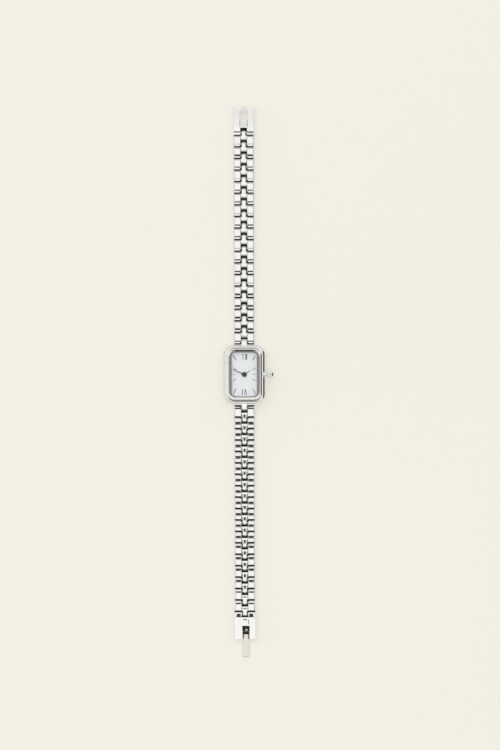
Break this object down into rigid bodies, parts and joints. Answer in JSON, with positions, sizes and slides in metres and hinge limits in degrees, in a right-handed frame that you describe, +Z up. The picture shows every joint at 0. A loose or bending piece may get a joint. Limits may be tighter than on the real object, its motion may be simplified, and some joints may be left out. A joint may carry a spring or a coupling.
{
  "type": "square dress watch",
  "caption": "Small rectangular dress watch with a stepped steel case, pale dial, pulled crown and an open three-row link bracelet with a fold-over clasp, laid out flat.",
  "frame": {"origin": "on the underside of the case back, under the hands' centre", "axes": "+Y to 12 o'clock along the bracelet, +X to the crown, +Z up out of the dial"},
  "size_m": [0.0176, 0.1949, 0.0058],
  "materials": {
    "polished_steel": "polished stainless steel",
    "frosted_steel": "fine brushed stainless steel",
    "crystal_glass": "clear mineral glass",
    "dial_silver": "silvered sunray dial",
    "dial_print": "grey print",
    "hand_steel": "dark polished steel",
    "gasket_rubber": "black nitrile",
    "holder_plastic": "moulded ivory plastic",
    "plate_brass": "nickel-gilt brass",
    "bridge_steel": "satin nickel",
    "cell_steel": "satin steel can",
    "coil_copper": "enamelled copper wire on an iron core",
    "board_green": "solder-masked board",
    "rotor_magnet": "dark sintered magnet",
    "wheel_brass": "gilt brass"
  },
  "bodies": {
    "case": {"case_body": "polished_steel", "crystal": "crystal_glass", "dial": "dial_silver", "hour_markers": "dial_print", "case_back": "frosted_steel", "back_gasket": "gasket_rubber", "movement_holder": "holder_plastic", "main_plate": "plate_brass", "train_bridge": "bridge_steel", "battery": "cell_steel", "motor_coil": "coil_copper", "circuit_board": "board_green"},
    "setting_slide": {"setting_slide": "bridge_steel"},
    "crown": {"crown": "polished_steel"},
    "minute_train": {"centre_wheel": "wheel_brass", "minute_hand": "hand_steel"},
    "hour_train": {"hour_wheel": "wheel_brass", "hour_hand": "hand_steel"},
    "minute_wheel": {"minute_wheel": "wheel_brass"},
    "third_wheel": {"third_wheel": "wheel_brass"},
    "rotor": {"rotor": "rotor_magnet"},
    "catch_frame": {"catch_frame": "polished_steel"},
    "clasp_body": {"clasp_body": "polished_steel"},
    "clasp_arm": {"clasp_arm": "frosted_steel"},
    "upper_link_01": {"upper_link_01": "polished_steel"},
    "upper_link_02": {"upper_link_02": "polished_steel"},
    "upper_link_03": {"upper_link_03": "polished_steel"},
    "upper_link_04": {"upper_link_04": "polished_steel"},
    "upper_link_05": {"upper_link_05": "polished_steel"},
    "upper_link_06": {"upper_link_06": "polished_steel"},
    "upper_link_07": {"upper_link_07": "polished_steel"},
    "upper_link_08": {"upper_link_08": "polished_steel"},
    "upper_link_09": {"upper_link_09": "polished_steel"},
    "upper_link_10": {"upper_link_10": "polished_steel"},
    "upper_link_11": {"upper_link_11": "polished_steel"},
    "upper_link_12": {"upper_link_12": "polished_steel"},
    "upper_link_13": {"upper_link_13": "polished_steel"},
    "upper_link_14": {"upper_link_14": "polished_steel"},
    "upper_link_15": {"upper_link_15": "polished_steel"},
    "upper_link_16": {"upper_link_16": "polished_steel"},
    "upper_link_17": {"upper_link_17": "polished_steel"},
    "upper_link_18": {"upper_link_18": "polished_steel"},
    "lower_link_01": {"lower_link_01": "polished_steel"},
    "lower_link_02": {"lower_link_02": "polished_steel"},
    "lower_link_03": {"lower_link_03": "polished_steel"},
    "lower_link_04": {"lower_link_04": "polished_steel"},
    "lower_link_05": {"lower_link_05": "polished_steel"},
    "lower_link_06": {"lower_link_06": "polished_steel"},
    "lower_link_07": {"lower_link_07": "polished_steel"},
    "lower_link_08": {"lower_link_08": "polished_steel"},
    "lower_link_09": {"lower_link_09": "polished_steel"},
    "lower_link_10": {"lower_link_10": "polished_steel"},
    "lower_link_11": {"lower_link_11": "polished_steel"},
    "lower_link_12": {"lower_link_12": "polished_steel"},
    "lower_link_13": {"lower_link_13": "polished_steel"},
    "lower_link_14": {"lower_link_14": "polished_steel"},
    "lower_link_15": {"lower_link_15": "polished_steel"},
    "lower_link_16": {"lower_link_16": "polished_steel"},
    "lower_link_17": {"lower_link_17": "polished_steel"},
    "lower_link_18": {"lower_link_18": "polished_steel"}
  },
  "joints": [
    {"name": "arm_fold", "type": "hinge", "parent": "clasp_body", "child": "clasp_arm", "pos_m": [0, -0.09169, 0.00062], "axis": [1, 0, 0], "range_deg": [0, 168]},
    {"name": "crown_pull", "type": "slide", "parent": "case", "child": "setting_slide", "axis": [1, 0, 0], "range_m": [-0.0008, 0]},
    {"name": "crown_turn", "type": "hinge", "parent": "setting_slide", "child": "crown", "pos_m": [0, 0, 0.0028], "axis": [1, 0, 0], "continuous": true},
    {"name": "minute_turn", "type": "hinge", "parent": "case", "child": "minute_train", "pos_m": [0, 0, 0.002], "axis": [0, 0, -1], "continuous": true},
    {"name": "hour_turn", "type": "hinge", "parent": "case", "child": "hour_train", "pos_m": [0, 0, 0.0032], "axis": [0, 0, -1], "continuous": true},
    {"name": "upper_hinge_01", "type": "hinge", "parent": "case", "child": "upper_link_01", "pos_m": [0, 0.01186, 0.0009], "axis": [-1, 0, 0], "range_deg": [-6, 9.8]},
    {"name": "lower_hinge_01", "type": "hinge", "parent": "case", "child": "lower_link_01", "pos_m": [0, -0.01205, 0.0009], "axis": [1, 0, 0], "range_deg": [-6, 9.8]},
    {"name": "catch_hinge", "type": "hinge", "parent": "upper_link_18", "child": "catch_frame", "pos_m": [0, 0.08584, 0.0009], "axis": [-1, 0, 0], "range_deg": [-6, 9.8]},
    {"name": "clasp_hinge", "type": "hinge", "parent": "lower_link_18", "child": "clasp_body", "pos_m": [0, -0.08495, 0.0009], "axis": [1, 0, 0], "range_deg": [-6, 9.8]},
    {"name": "upper_hinge_02", "type": "hinge", "parent": "upper_link_01", "child": "upper_link_02", "pos_m": [0, 0.01597, 0.0009], "axis": [-1, 0, 0], "range_deg": [-6, 9.8]},
    {"name": "lower_hinge_02", "type": "hinge", "parent": "lower_link_01", "child": "lower_link_02", "pos_m": [0, -0.0161, 0.0009], "axis": [1, 0, 0], "range_deg": [-6, 9.8]},
    {"name": "upper_hinge_03", "type": "hinge", "parent": "upper_link_02", "child": "upper_link_03", "pos_m": [0, 0.02008, 0.0009], "axis": [-1, 0, 0], "range_deg": [-6, 9.8]},
    {"name": "lower_hinge_03", "type": "hinge", "parent": "lower_link_02", "child": "lower_link_03", "pos_m": [0, -0.02015, 0.0009], "axis": [1, 0, 0], "range_deg": [-6, 9.8]},
    {"name": "upper_hinge_04", "type": "hinge", "parent": "upper_link_03", "child": "upper_link_04", "pos_m": [0, 0.02419, 0.0009], "axis": [-1, 0, 0], "range_deg": [-6, 9.8]},
    {"name": "lower_hinge_04", "type": "hinge", "parent": "lower_link_03", "child": "lower_link_04", "pos_m": [0, -0.0242, 0.0009], "axis": [1, 0, 0], "range_deg": [-6, 9.8]},
    {"name": "upper_hinge_05", "type": "hinge", "parent": "upper_link_04", "child": "upper_link_05", "pos_m": [0, 0.0283, 0.0009], "axis": [-1, 0, 0], "range_deg": [-6, 9.8]},
    {"name": "lower_hinge_05", "type": "hinge", "parent": "lower_link_04", "child": "lower_link_05", "pos_m": [0, -0.02825, 0.0009], "axis": [1, 0, 0], "range_deg": [-6, 9.8]},
    {"name": "upper_hinge_06", "type": "hinge", "parent": "upper_link_05", "child": "upper_link_06", "pos_m": [0, 0.03241, 0.0009], "axis": [-1, 0, 0], "range_deg": [-6, 9.8]},
    {"name": "lower_hinge_06", "type": "hinge", "parent": "lower_link_05", "child": "lower_link_06", "pos_m": [0, -0.0323, 0.0009], "axis": [1, 0, 0], "range_deg": [-6, 9.8]},
    {"name": "upper_hinge_07", "type": "hinge", "parent": "upper_link_06", "child": "upper_link_07", "pos_m": [0, 0.03652, 0.0009], "axis": [-1, 0, 0], "range_deg": [-6, 9.8]},
    {"name": "lower_hinge_07", "type": "hinge", "parent": "lower_link_06", "child": "lower_link_07", "pos_m": [0, -0.03635, 0.0009], "axis": [1, 0, 0], "range_deg": [-6, 9.8]},
    {"name": "upper_hinge_08", "type": "hinge", "parent": "upper_link_07", "child": "upper_link_08", "pos_m": [0, 0.04063, 0.0009], "axis": [-1, 0, 0], "range_deg": [-6, 9.8]},
    {"name": "lower_hinge_08", "type": "hinge", "parent": "lower_link_07", "child": "lower_link_08", "pos_m": [0, -0.0404, 0.0009], "axis": [1, 0, 0], "range_deg": [-6, 9.8]},
    {"name": "upper_hinge_09", "type": "hinge", "parent": "upper_link_08", "child": "upper_link_09", "pos_m": [0, 0.04474, 0.0009], "axis": [-1, 0, 0], "range_deg": [-6, 9.8]},
    {"name": "lower_hinge_09", "type": "hinge", "parent": "lower_link_08", "child": "lower_link_09", "pos_m": [0, -0.04445, 0.0009], "axis": [1, 0, 0], "range_deg": [-6, 9.8]},
    {"name": "upper_hinge_10", "type": "hinge", "parent": "upper_link_09", "child": "upper_link_10", "pos_m": [0, 0.04885, 0.0009], "axis": [-1, 0, 0], "range_deg": [-6, 9.8]},
    {"name": "lower_hinge_10", "type": "hinge", "parent": "lower_link_09", "child": "lower_link_10", "pos_m": [0, -0.0485, 0.0009], "axis": [1, 0, 0], "range_deg": [-6, 9.8]},
    {"name": "upper_hinge_11", "type": "hinge", "parent": "upper_link_10", "child": "upper_link_11", "pos_m": [0, 0.05296, 0.0009], "axis": [-1, 0, 0], "range_deg": [-6, 9.8]},
    {"name": "lower_hinge_11", "type": "hinge", "parent": "lower_link_10", "child": "lower_link_11", "pos_m": [0, -0.05255, 0.0009], "axis": [1, 0, 0], "range_deg": [-6, 9.8]},
    {"name": "upper_hinge_12", "type": "hinge", "parent": "upper_link_11", "child": "upper_link_12", "pos_m": [0, 0.05707, 0.0009], "axis": [-1, 0, 0], "range_deg": [-6, 9.8]},
    {"name": "lower_hinge_12", "type": "hinge", "parent": "lower_link_11", "child": "lower_link_12", "pos_m": [0, -0.0566, 0.0009], "axis": [1, 0, 0], "range_deg": [-6, 9.8]},
    {"name": "upper_hinge_13", "type": "hinge", "parent": "upper_link_12", "child": "upper_link_13", "pos_m": [0, 0.06118, 0.0009], "axis": [-1, 0, 0], "range_deg": [-6, 9.8]},
    {"name": "lower_hinge_13", "type": "hinge", "parent": "lower_link_12", "child": "lower_link_13", "pos_m": [0, -0.06065, 0.0009], "axis": [1, 0, 0], "range_deg": [-6, 9.8]},
    {"name": "upper_hinge_14", "type": "hinge", "parent": "upper_link_13", "child": "upper_link_14", "pos_m": [0, 0.06529, 0.0009], "axis": [-1, 0, 0], "range_deg": [-6, 9.8]},
    {"name": "lower_hinge_14", "type": "hinge", "parent": "lower_link_13", "child": "lower_link_14", "pos_m": [0, -0.0647, 0.0009], "axis": [1, 0, 0], "range_deg": [-6, 9.8]},
    {"name": "upper_hinge_15", "type": "hinge", "parent": "upper_link_14", "child": "upper_link_15", "pos_m": [0, 0.0694, 0.0009], "axis": [-1, 0, 0], "range_deg": [-6, 9.8]},
    {"name": "lower_hinge_15", "type": "hinge", "parent": "lower_link_14", "child": "lower_link_15", "pos_m": [0, -0.06875, 0.0009], "axis": [1, 0, 0], "range_deg": [-6, 9.8]},
    {"name": "upper_hinge_16", "type": "hinge", "parent": "upper_link_15", "child": "upper_link_16", "pos_m": [0, 0.07351, 0.0009], "axis": [-1, 0, 0], "range_deg": [-6, 9.8]},
    {"name": "lower_hinge_16", "type": "hinge", "parent": "lower_link_15", "child": "lower_link_16", "pos_m": [0, -0.0728, 0.0009], "axis": [1, 0, 0], "range_deg": [-6, 9.8]},
    {"name": "upper_hinge_17", "type": "hinge", "parent": "upper_link_16", "child": "upper_link_17", "pos_m": [0, 0.07762, 0.0009], "axis": [-1, 0, 0], "range_deg": [-6, 9.8]},
    {"name": "lower_hinge_17", "type": "hinge", "parent": "lower_link_16", "child": "lower_link_17", "pos_m": [0, -0.07685, 0.0009], "axis": [1, 0, 0], "range_deg": [-6, 9.8]},
    {"name": "upper_hinge_18", "type": "hinge", "parent": "upper_link_17", "child": "upper_link_18", "pos_m": [0, 0.08173, 0.0009], "axis": [-1, 0, 0], "range_deg": [-6, 9.8]},
    {"name": "lower_hinge_18", "type": "hinge", "parent": "lower_link_17", "child": "lower_link_18", "pos_m": [0, -0.0809, 0.0009], "axis": [1, 0, 0], "range_deg": [-6, 9.8]},
    {"name": "minute_wheel_turn", "type": "hinge", "parent": "case", "child": "minute_wheel", "pos_m": [0.0014, 0, 0.003], "axis": [0, 0, -1], "continuous": true},
    {"name": "third_wheel_turn", "type": "hinge", "parent": "case", "child": "third_wheel", "pos_m": [0.00147, 0.00103, 0.0014], "axis": [0, 0, -1], "continuous": true},
    {"name": "rotor_turn", "type": "hinge", "parent": "case", "child": "rotor", "pos_m": [0.00294, 0.00077, 0.0018], "axis": [0, 0, -1], "continuous": true}
  ],
  "couplings": [
    {"joint": "hour_turn", "follows": "minute_turn", "ratio": 0.083333},
    {"joint": "minute_wheel_turn", "follows": "minute_turn", "ratio": -0.33333},
    {"joint": "third_wheel_turn", "follows": "minute_turn", "ratio": -9},
    {"joint": "rotor_turn", "follows": "minute_turn", "ratio": 90}
  ]
}
